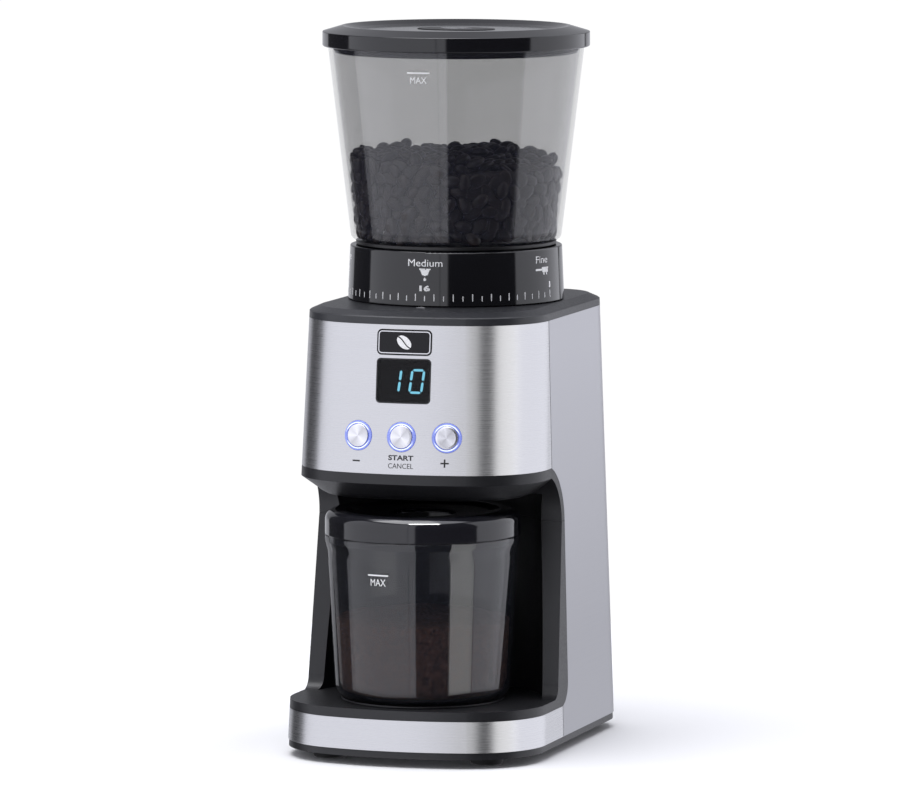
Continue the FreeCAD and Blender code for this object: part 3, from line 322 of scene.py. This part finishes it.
def raise_flat(flats, place, lift=PRINT_LIFT):
    """Turns flat outlines, lists of (u, v), into thin raised prints."""
    verts, faces = [], []
    for points in flats:
        n, base = len(points), len(verts)
        verts += [place(u, v, lift + PRINT_THICK) for u, v in points]
        verts += [place(u, v, lift - PRINT_SUNK) for u, v in points]
        faces.append([base + i for i in range(n)])
        faces += [[base + (i + 1) % n, base + i, base + n + i, base + n + (i + 1) % n] for i in range(n)]
    return verts, faces


def print_shapes(name, flats, place, material, body, lift=PRINT_LIFT):
    verts, faces = raise_flat(flats, place, lift)
    make_mesh(name, verts, faces, material, body)


def print_text(name, words, width, height, place, material, body, bold=0.0):
    """Plain lettering fitted to a width and height in mm, then wrapped onto the surface."""
    curve = bpy.data.curves.new(name, "FONT")
    curve.body = words
    curve.size = 1.0
    curve.offset = bold
    curve.resolution_u = 3
    curve.extrude = 0.01
    holder = bpy.data.objects.new(name + "_curve", curve)
    bpy.context.scene.collection.objects.link(holder)
    bpy.context.view_layer.update()
    mesh = bpy.data.meshes.new_from_object(holder.evaluated_get(bpy.context.evaluated_depsgraph_get()))
    bpy.data.objects.remove(holder)
    xs, ys = [v.co.x for v in mesh.vertices], [v.co.y for v in mesh.vertices]
    scale_x, scale_y = width / (max(xs) - min(xs)), height / (max(ys) - min(ys))
    middle_x, foot_y = (max(xs) + min(xs)) / 2, min(ys)
    for v in mesh.vertices:
        level = PRINT_LIFT + PRINT_THICK if v.co.z > 0 else PRINT_LIFT - PRINT_SUNK
        v.co = place((v.co.x - middle_x) * scale_x, (v.co.y - foot_y) * scale_y, level)
    mesh.name = name
    add_object(name, mesh, material, body)


def row(u0, u1, v0, v1, parts=1):
    """A rectangle as a row of quads, so that it bends with the surface under it."""
    step = (u1 - u0) / parts
    return [[(u0 + step * k, v0), (u0 + step * (k + 1), v0), (u0 + step * (k + 1), v1), (u0 + step * k, v1)]
            for k in range(parts)]


def rect(u0, u1, v0, v1):
    return row(u0, u1, v0, v1)[0]


def lower_half_circle(v, radius, steps):
    turns = [math.pi + math.pi * k / steps for k in range(steps + 1)]
    return [(radius * math.cos(t), v + radius * math.sin(t)) for t in turns]


def bean_sign(half_length, half_width, steps=14):
    """A coffee bean pictogram: two halves either side of a wavy gap."""
    halves = []
    for side in (-1, 1):
        turns = [math.pi / 2 - math.pi * k / steps for k in range(steps + 1)]
        outer = [(side * half_width * math.cos(t), half_length * math.sin(t)) for t in turns]
        middle = [(half_width * (0.16 * math.sin(2.6 * v / half_length) + side * 0.11), v * 0.97)
                  for _, v in outer]
        for k in range(steps):
            halves.append([outer[k], outer[k + 1], middle[k + 1], middle[k]][::side])
    return halves


def frame_line(half_w, half_h, radius, line, corner_steps=6, longest=1.5):
    """Quads that make a rounded rectangular line, none much longer than longest mm."""

    def loop(w, h, r):
        points = []
        x, y = w - r, h - r
        for cx, cy, start in ((x, y, 0), (-x, y, 90), (-x, -y, 180), (x, -y, 270)):
            turns = [math.radians(start + k * 90 / corner_steps) for k in range(corner_steps + 1)]
            points += [(cx + r * math.cos(t), cy + r * math.sin(t)) for t in turns]
        return points

    def along(a, b, share):
        return a[0] + (b[0] - a[0]) * share, a[1] + (b[1] - a[1]) * share

    outer, inner = loop(half_w, half_h, radius), loop(half_w - line, half_h - line, radius - line)
    quads = []
    for i, a in enumerate(outer):
        after = (i + 1) % len(outer)
        b, c, d = outer[after], inner[after], inner[i]
        parts = max(1, int(math.dist(a, b) / longest))
        edge = [(along(a, b, k / parts), along(d, c, k / parts)) for k in range(parts + 1)]
        quads += [[out_1, out_2, in_2, in_1] for (out_1, in_1), (out_2, in_2) in zip(edge, edge[1:])]
    return quads


def hoop(inner, outer, steps=48):
    """Quads that make a flat ring."""
    quads = []
    for k in range(steps):
        a, b = math.tau * k / steps, math.tau * (k + 1) / steps
        quads.append([(inner * math.cos(a), inner * math.sin(a)), (outer * math.cos(a), outer * math.sin(a)),
                      (outer * math.cos(b), outer * math.sin(b)), (inner * math.cos(b), inner * math.sin(b))])
    return quads


# ---------------------------------------------------------------- setting ring marks

PITCH, REST_SETTING, SETTINGS, MARK_SHIFT = 5.1, 16, 31, 0.5
TICK_Z, TICK_HALF_WIDTH, TICK_LONG, TICK_SHORT = 244.8, 0.26, 3.9, 2.8
NUMBER_Z, NUMBER_HEIGHT, NUMBER_WIDTHS = 250.1, 3.2, {1: 1.4, 16: 5.9, 31: 5.7}
WORD_HEIGHT, END_ANGLE = 3.8, 70.3


def ring_at(angle, z):
    return on_cone(AXIS_Y, RING_LOW, RING_HIGH, angle, z)


def setting_angle(number):
    return (REST_SETTING - number) * PITCH + MARK_SHIFT


tick_verts, tick_faces = [], []
for n in range(1, SETTINGS + 1):
    tick = row(-TICK_HALF_WIDTH, TICK_HALF_WIDTH, 0, TICK_LONG if n % 2 else TICK_SHORT)
    verts, faces = raise_flat(tick, ring_at(setting_angle(n), TICK_Z))
    tick_faces += [[i + len(tick_verts) for i in face] for face in faces]
    tick_verts += verts
make_mesh("setting_ticks", tick_verts, tick_faces, "white_print", "setting_ring")
for number, width in NUMBER_WIDTHS.items():
    place = ring_at(setting_angle(number), NUMBER_Z)
    print_text(f"setting_{number}", str(number), width, NUMBER_HEIGHT, place,
               "white_print", "setting_ring", 0.045)
for word, width, angle, z in (("Medium", 19.3, MARK_SHIFT, 263.4), ("Fine", 10.0, END_ANGLE, 263.6),
                              ("Coarse", 18.0, -END_ANGLE, 263.6)):
    print_text("setting_" + word.lower(), word, width, WORD_HEIGHT, ring_at(angle, z),
               "white_print", "setting_ring")

filter_cone = [(-2.7, 2.9), (-1.5, 0), (1.5, 0), (2.7, 2.9)]
drop = [(0, -1.0), (-0.55, -1.9)] + lower_half_circle(-2.3, 0.75, 10) + [(0.55, -1.9)]
ICONS = {
    "icon_drip": (MARK_SHIFT, 258.7, [
        rect(-3.2, 3.2, 3.0, 3.6), filter_cone, rect(-0.6, 0.6, -0.3, 0.1), drop]),
    "icon_portafilter": (END_ANGLE, 257.9, [
        rect(0.2, 5.4, 0.6, 2.6), rect(-0.2, 5.8, 2.6, 3.4), *row(-5.4, 0.2, 1.6, 2.7, 2),
        rect(1.2, 2.0, -0.7, 0.6), rect(3.6, 4.4, -0.7, 0.6)]),
    "icon_press_pot": (-END_ANGLE, 257.6, [
        rect(-2.0, 2.0, -1.6, 2.6), rect(-2.4, 2.4, 2.8, 3.3), rect(-0.25, 0.25, 3.3, 4.2),
        rect(2.0, 3.3, 1.8, 2.3), rect(2.9, 3.4, -0.6, 1.9), rect(2.0, 3.3, -0.9, -0.4)]),
}
for name, (angle, z, shapes) in ICONS.items():
    print_shapes(name, shapes, ring_at(angle, z), "white_print", "setting_ring")


# ---------------------------------------------------------------- fill marks on the clear parts

hopper_mark = on_cone(AXIS_Y, HOPPER_LOW, HOPPER_HIGH, 0.0, 362.4)
print_shapes("hopper_max_line", row(-6.25, 6.25, 5.2, 6.0, 6), hopper_mark, "white_print", "bean_hopper")
print_text("hopper_max_text", "MAX", 9.2, 3.4, hopper_mark, "white_print", "bean_hopper")
canister_mark = on_cone(CANISTER_Y, CANISTER_LOW, CANISTER_HIGH, -10.6, 96.5)
print_shapes("canister_max_line", row(-6.1, 6.1, 5.3, 6.1, 6), canister_mark,
             "white_print", "grounds_canister")
print_text("canister_max_text", "MAX", 9.0, 3.7, canister_mark, "white_print", "grounds_canister")


# ---------------------------------------------------------------- control panel and lid marks

LABEL_WIDTH, SIGN_Z = 14.0, 162.0
ARM, HALF_LINE = 2.2, 0.42
print_text("label_start", "START", LABEL_WIDTH, 2.8, on_front(0, 163.0), "black_print", "housing", 0.03)
print_text("label_cancel", "CANCEL", LABEL_WIDTH, 2.7, on_front(0, 158.7), "black_print", "housing")
minus = row(-2.1, 2.1, -HALF_LINE, HALF_LINE, 2)
plus = row(-ARM, ARM, -HALF_LINE, HALF_LINE, 2)
plus += [rect(-HALF_LINE, HALF_LINE, HALF_LINE, ARM), rect(-HALF_LINE, HALF_LINE, -ARM, -HALF_LINE)]
print_shapes("label_minus", minus, on_front(-25.6, SIGN_Z), "black_print", "housing")
print_shapes("label_plus", plus, on_front(24.0, SIGN_Z), "black_print", "housing")

BADGE_LIFT, BADGE_TILT = 0.17, 0.9
badge = on_front(0, 225.7)
print_shapes("name_plate_border", frame_line(14.5, 6.0, 2.0, 0.5), badge, "chrome", "housing", BADGE_LIFT)
cos_tilt, sin_tilt = math.cos(BADGE_TILT), math.sin(BADGE_TILT)
sign = [[(u * cos_tilt - v * sin_tilt, u * sin_tilt + v * cos_tilt) for u, v in quad]
        for quad in bean_sign(4.6, 3.0)]
print_shapes("name_plate_bean", sign, badge, "white_print", "housing", BADGE_LIFT)
print_shapes("display_border", frame_line(15.05, 11.75, 2.2, 0.45), on_front(0, 205.2),
             "black_gloss", "housing", -0.12)
for x, name in BUTTONS:
    print_shapes("light_core_" + name, hoop(6.5, 7.1), on_front(x, BUTTON_Z), "white_lit", "housing", 0.56)

emblem = [[(v, u) for u, v in quad] for quad in bean_sign(9.0, 6.0)]
print_shapes("lid_emblem_bean", emblem, on_disc(0, AXIS_Y, EMBLEM_TOP), "chrome", "bean_hopper_lid", 0.15)


# ---------------------------------------------------------------- beans

BEAN_HALF_LENGTH, BEAN_HALF_WIDTH, BEAN_DEPTH, BEAN_FLAT = 5.3, 3.7, 2.9, 0.55
CREASE_WIDTH, CREASE_DEPTH = 0.16, 0.30
BEAN_LOWEST, BEAN_HIGHEST, BEAN_ROW, BEAN_STEP = 279.3, 340.0, 6.0, 7.6
# Layers against the wall: depth of the beans' middles, tilt and pitch round the wall.
BEAN_LAYERS = ((3.3, 0.28, 8.3), (7.0, 0.7, 8.8))


def bean_template():
    """A bean: half an ellipsoid rounded below, flatter above with a crease along it."""
    bm = bmesh.new()
    bmesh.ops.create_uvsphere(bm, u_segments=14, v_segments=9, radius=1.0)
    verts = []
    for v in bm.verts:
        x, y, z = v.co.z, v.co.x, v.co.y
        if z >= 0:
            z *= BEAN_FLAT
        if z > 0:
            z -= math.exp(-(y / CREASE_WIDTH) ** 2) * CREASE_DEPTH * (1 - x * x)
        verts.append(Vector((x * BEAN_HALF_LENGTH, y * BEAN_HALF_WIDTH * (1 - 0.06 * x), z * BEAN_DEPTH)))
    faces = [[v.index for v in f.verts] for f in bm.faces]
    bm.free()
    return verts, faces


BEAN_VERTS, BEAN_FACES = bean_template()


def bean_level(x, y):
    """Height of the heap in mm: level on the left and in the middle, lower to the right."""
    wave = 3.5 * noise.noise(Vector((x * 0.035, y * 0.035, 3.1)))
    return 320.0 - 0.17 * max(0.0, x - 0.3 * y - 10.0) + wave


def hopper_inside(z):
    return between(HOPPER_LOW, HOPPER_HIGH, z) - HOPPER_WALL


def facing(normal, tilt):
    """Flat of a bean square to a direction, turned freely about it and tipped a little."""
    tip = Euler((rng.uniform(-tilt, tilt), rng.uniform(-tilt, tilt), rng.uniform(-tilt, tilt))).to_matrix()
    spin = Matrix.Rotation(rng.uniform(0, math.tau), 3, "Z")
    return tip @ Vector((0, 0, 1)).rotation_difference(normal).to_matrix() @ spin


def scatter_beans():
    """Two layers against the wall and one over the top of the heap."""
    verts, faces = [], []

    def add(position, turn):
        size = rng.uniform(0.88, 1.08)
        base = len(verts)
        verts.extend((position + turn @ (v * size)) * MM for v in BEAN_VERTS)
        faces.extend([i + base for i in f] for f in BEAN_FACES)

    for depth, tilt, pitch in BEAN_LAYERS:
        rows = math.ceil((BEAN_HIGHEST - BEAN_LOWEST) / BEAN_ROW)
        for level in range(rows):
            z = BEAN_LOWEST + level * BEAN_ROW
            wall = hopper_inside(z) - depth
            count = int(math.tau * wall / pitch)
            for k in range(count):
                a = math.tau * (k + 0.5 * (level % 2)) / count + rng.uniform(-0.035, 0.035)
                r = wall - rng.uniform(0.0, 1.1)
                x, y = r * math.sin(a), -r * math.cos(a)
                if z < bean_level(x, y) - 2.0:
                    outward = Vector((math.sin(a), -math.cos(a), 0)) * rng.choice((-1, 1))
                    add(Vector((x, y + AXIS_Y, z + rng.uniform(-1.5, 1.5))), facing(outward, tilt))
    for i in range(-9, 10):
        for j in range(-9, 10):
            x, y = i * BEAN_STEP + rng.uniform(-2, 2), j * BEAN_STEP + rng.uniform(-2, 2)
            z = bean_level(x, y)
            if math.hypot(x, y) < hopper_inside(z) - 6.5:
                up = Vector((rng.uniform(-0.4, 0.4), rng.uniform(-0.4, 0.4), rng.choice((-1, 1))))
                add(Vector((x, y + AXIS_Y, z + rng.uniform(-1.0, 2.0))), facing(up.normalized(), 0.4))
    return verts, faces


bean_verts, bean_faces = scatter_beans()
make_mesh("coffee_beans", bean_verts, bean_faces, "beans", "bean_hopper", smooth=True)


# ---------------------------------------------------------------- loose contents

SIDE_RINGS, BOTTOM_CHAMFER = 8, (2.0, 1.5)
RIM_SAMPLE_RADIUS, WALL_SAMPLE_Z = 40, 70


def heap(name, axis_y, inside, low, level, material, body, rings=22, around=96, rough=0.0):
    """Closed body of loose contents: side against the wall, bumpy top.

    inside gives the radius at a height and level the height at a place, both in mm.
    """
    verts, faces, starts = [], [], []
    directions = [(math.sin(math.tau * k / around), -math.cos(math.tau * k / around)) for k in range(around)]

    def ring(point):
        """Adds one ring of vertices; point turns a direction into a place."""
        starts.append(len(verts))
        verts.extend(Vector(point(x, y)) * MM for x, y in directions)

    def bottom(x, y):
        r = inside(low) - BOTTOM_CHAMFER[0]
        return x * r, y * r + axis_y, low

    def side(step):
        reach, foot = inside(WALL_SAMPLE_Z), low + BOTTOM_CHAMFER[1]

        def point(x, y):
            z = foot + (level(x * reach, y * reach) - foot) * step / (SIDE_RINGS - 1)
            r = inside(z)
            return x * r, y * r + axis_y, z

        return point

    def top(share):
        def point(x, y):
            edge = inside(level(x * RIM_SAMPLE_RADIUS, y * RIM_SAMPLE_RADIUS))
            px, py = x * edge * share, y * edge * share
            jitter = rough * noise.noise(Vector((px * 0.55, py * 0.55, 1.7)))
            return px, py + axis_y, level(px, py) + jitter

        return point

    ring(bottom)
    for step in range(SIDE_RINGS):
        ring(side(step))
    for k in range(1, rings):
        ring(top(1 - k / rings))
    for a, b in zip(starts, starts[1:]):
        for k in range(around):
            n = (k + 1) % around
            faces.append([a + k, a + n, b + n, b + k])
    faces.append([starts[0] + k for k in reversed(range(around))])
    faces.append([starts[-1] + k for k in range(around)])
    make_mesh(name, verts, faces, material, body, smooth=True)


# The mass behind the beans stays this far inside the wall and below the top ones.
MASS_INSET, MASS_BELOW, MASS_BOTTOM = 8.0, 4.5, 279.5
heap("bean_mass", AXIS_Y, lambda z: hopper_inside(z) - MASS_INSET, MASS_BOTTOM,
     lambda x, y: bean_level(x, y) - MASS_BELOW, "beans", "bean_hopper")

GROUNDS_CLEARANCE = (0.35, 0.3)  # to the canister's wall and floor


def grounds_level(x, y):
    """Height of the ground coffee in mm: a low dome with waves and small lumps."""
    wave = 2.4 * noise.noise(Vector((x * 0.05, y * 0.05, 9.2)))
    lumps = 0.8 * noise.noise(Vector((x * 0.3, y * 0.3, 4.2)))
    return 78.5 - 0.0022 * (x * x + y * y) + wave + lumps


def canister_inside(z):
    below = max(0.0, CANISTER_FLOOR + CANISTER_CORNER - z)
    corner = CANISTER_CORNER - math.sqrt(max(0.0, CANISTER_CORNER ** 2 - below ** 2))
    return between(CANISTER_LOW, CANISTER_HIGH, z) - CANISTER_WALL - GROUNDS_CLEARANCE[0] - corner


heap("coffee_grounds", CANISTER_Y, canister_inside, CANISTER_FLOOR + GROUNDS_CLEARANCE[1], grounds_level,
     "grounds", "grounds_canister", rings=40, around=180, rough=1.1)


# ---------------------------------------------------------------- floor, light and camera

# Azimuths are from the front towards +X and elevations up from level, in degrees.
CAMERA_AZ, CAMERA_EL, CAMERA_DISTANCE, LENS, SENSOR = 17.4, 5.94, 4.2666, 314.109, 36.0
VIEW_MIDDLE, VIEW_LEFT = (0.0, 4.3, 186.46), 1.16
FLOOR_RADIUS, FLOOR_SIDES, FLOOR_Z = 0.5, 96, -0.0002
FULL_TURN = 360.0
# Soft boxes: azimuth range, brightness, elevation range, softness of the edges.
STUDIO = [
    (-88.6 + FULL_TURN, FULL_TURN, 1.05, -40.0, 50.0, 2.0),
    (0.0, 8.4, 1.05, -40.0, 50.0, 2.0),
    (84.4, 164.0, 1.10, -40.0, 50.0, 2.0),
    (168.0, 232.0, 0.60, -90.0, 0.0, 3.0),
    (168.0, 232.0, 0.30, 0.0, 60.0, 3.0),
    (-10.0, 370.0, 2.4, 58.0, 100.0, 2.0),
    (-10.0, 370.0, 0.55, -100.0, -44.0, 2.0),
]
STUDIO_EDGE, STUDIO_BASE, STUDIO_TINT = 8.0, 0.06, (0.97, 0.98, 1.055)
BACKDROP = (1.02, 1.02, 1.02)


def from_direction(azimuth, elevation, distance):
    """Point that far from the model's origin, in metres."""
    a, e = math.radians(azimuth), math.radians(elevation)
    return Vector((math.sin(a) * math.cos(e), -math.cos(a) * math.cos(e), math.sin(e))) * distance


def make_floor():
    m = Nodes("floor_white")
    m.vary(m.noise(1.5), (0.86, 0.86, 0.86, 1.0), (0.9, 0.9, 0.9, 1.0), "Base Color")
    m.set({"Roughness": 0.9, "Specular IOR Level": 0.1})
    mesh = bpy.data.meshes.new("floor")
    turns = [math.tau * k / FLOOR_SIDES for k in range(FLOOR_SIDES)]
    verts = [(FLOOR_RADIUS * math.cos(t), FLOOR_RADIUS * math.sin(t), FLOOR_Z) for t in turns]
    mesh.from_pydata(verts, [], [list(range(FLOOR_SIDES))])
    floor = bpy.data.objects.new("floor", mesh)
    bpy.context.scene.collection.objects.link(floor)
    mesh.materials.append(m.mat)
    floor.visible_glossy = False


def make_world():
    """Pale backdrop, lit by soft boxes at set directions with darkness between them."""
    world = bpy.data.worlds.new("studio")
    bpy.context.scene.world = world
    world.use_nodes = True
    tree = world.node_tree
    tree.nodes.clear()

    def node(kind, **settings):
        made = tree.nodes.new(kind)
        for key, value in settings.items():
            setattr(made, key, value)
        return made

    def maths(operation, *values, clamp=False):
        made = node("ShaderNodeMath", operation=operation, use_clamp=clamp)
        for i, value in enumerate(values):
            if isinstance(value, (int, float)):
                made.inputs[i].default_value = value
            else:
                tree.links.new(value, made.inputs[i])
        return made.outputs[0]

    def band(value, low, high, soft):
        rise = maths("DIVIDE", maths("SUBTRACT", value, low - soft / 2), soft, clamp=True)
        fall = maths("DIVIDE", maths("SUBTRACT", high + soft / 2, value), soft, clamp=True)
        return maths("MULTIPLY", rise, fall)

    coords = node("ShaderNodeTexCoord")
    split = node("ShaderNodeSeparateXYZ")
    tree.links.new(coords.outputs["Generated"], split.inputs[0])
    x, y, z = split.outputs
    turn = maths("MULTIPLY", maths("ARCTAN2", x, maths("MULTIPLY", y, -1.0)), 180 / math.pi)
    azimuth = maths("WRAP", turn, FULL_TURN, 0.0)
    elevation = maths("MULTIPLY", maths("ARCSINE", z), 180 / math.pi)
    light = None
    for az_low, az_high, level, el_low, el_high, soft in STUDIO:
        across, up = band(azimuth, az_low, az_high, soft), band(elevation, el_low, el_high, STUDIO_EDGE)
        box = maths("MULTIPLY", maths("MULTIPLY", across, up), level)
        light = box if light is None else maths("ADD", light, box)

    tinted = node("ShaderNodeVectorMath", operation="SCALE")
    tinted.inputs[0].default_value = STUDIO_TINT
    tree.links.new(maths("ADD", light, STUDIO_BASE), tinted.inputs["Scale"])
    path = node("ShaderNodeLightPath")
    mix = node("ShaderNodeMix", data_type="VECTOR")
    mix_a, mix_b = [i for i in mix.inputs if i.type == "VECTOR" and i.name in "AB"]
    mixed = [o for o in mix.outputs if o.type == "VECTOR"][0]
    tree.links.new(path.outputs["Is Camera Ray"], mix.inputs["Factor"])
    tree.links.new(tinted.outputs["Vector"], mix_a)
    mix_b.default_value = BACKDROP
    background = node("ShaderNodeBackground")
    tree.links.new(mixed, background.inputs["Color"])
    output = node("ShaderNodeOutputWorld")
    tree.links.new(background.outputs[0], output.inputs["Surface"])


def area_light(name, position, target, size, power, only=()):
    """Soft rectangular light; with only, it reaches just those nodes."""
    light = bpy.data.lights.new(name, "AREA")
    light.shape = "RECTANGLE"
    light.size, light.size_y = size
    light.energy = power
    obj = bpy.data.objects.new(name, light)
    bpy.context.scene.collection.objects.link(obj)
    obj.location = position
    obj.rotation_euler = (Vector(target) - Vector(position)).to_track_quat("-Z", "Y").to_euler()
    obj.visible_camera = False
    if only:
        reached = bpy.data.collections.new(name + "_reaches")
        for node in only:
            reached.objects.link(frame["nodes"][node])
        obj.light_linking.receiver_collection = reached


def make_lights():
    steel, panel_middle = ("front_panel", "base_steel_band"), (0, 0, 0.17)
    area_light("overhead", (-0.3, -0.3, 1.9), (0, 0, 0), (1.2, 1.2), 14.0)
    area_light("panel_fill_front", from_direction(18.5, 4.0, 2.0), panel_middle, (0.67, 2.6), 3.8, steel)
    area_light("panel_fill_side", from_direction(67.0, 4.0, 2.0), panel_middle, (1.22, 2.6), 11.5, steel)
    area_light("canister_fill", from_direction(66.0, 2.0, 2.0), (0, -0.048, 0.08), (1.1, 2.6), 17.0,
               ("canister",))
    area_light("lid_highlight", from_direction(19.4, 60.0, 2.0), (0, -0.048, 0.13), (0.9, 0.22), 40.0,
               ("canister_lid",))


def make_camera():
    camera = bpy.data.cameras.new("camera")
    camera.sensor_fit = "HORIZONTAL"
    camera.sensor_width = SENSOR
    camera.lens = LENS
    camera.clip_end = 50.0
    obj = bpy.data.objects.new("camera", camera)
    bpy.context.scene.collection.objects.link(obj)
    right = Vector((math.cos(math.radians(CAMERA_AZ)), math.sin(math.radians(CAMERA_AZ)), 0))
    target = (Vector(VIEW_MIDDLE) - right * VIEW_LEFT) * MM
    back = from_direction(CAMERA_AZ, CAMERA_EL, 1.0)
    obj.location = target + back * CAMERA_DISTANCE
    obj.rotation_euler = (-back).to_track_quat("-Z", "Y").to_euler()
    bpy.context.scene.camera = obj


make_floor()
make_world()
make_lights()
make_camera()
bpy.context.scene.view_settings.view_transform = "Standard"
